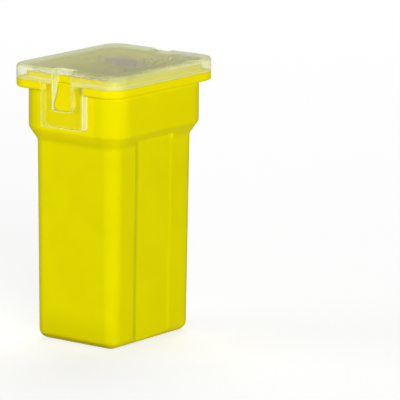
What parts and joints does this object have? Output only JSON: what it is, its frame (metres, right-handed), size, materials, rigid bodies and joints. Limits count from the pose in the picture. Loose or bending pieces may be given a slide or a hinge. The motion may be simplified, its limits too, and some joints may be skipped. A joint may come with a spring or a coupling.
{
  "type": "cartridge fuse",
  "caption": "Rectangular moulded fuse with a clear cover whose latches catch on lugs, and a folded metal element whose female receptacles open through T-shaped slots in the end face.",
  "frame": {"origin": "centre of the end face that the fuse stands on, between the two tab openings", "axes": "+Z from the end face up to the cover, X across the two latches, Y across the broad faces"},
  "size_m": [0.016, 0.0126, 0.0265],
  "materials": {
    "housing_plastic": "yellow glass-filled nylon, satin gloss",
    "cover_plastic": "hazy clear polymer, smoked grey-green",
    "element_metal": "tin-plated copper alloy, bare at the cut edges",
    "tin": "dull tin"
  },
  "bodies": {
    "root": {"housing": "housing_plastic", "cover": "cover_plastic", "fuse_element": "element_metal", "link_tin": "tin"}
  },
  "joints": []
}
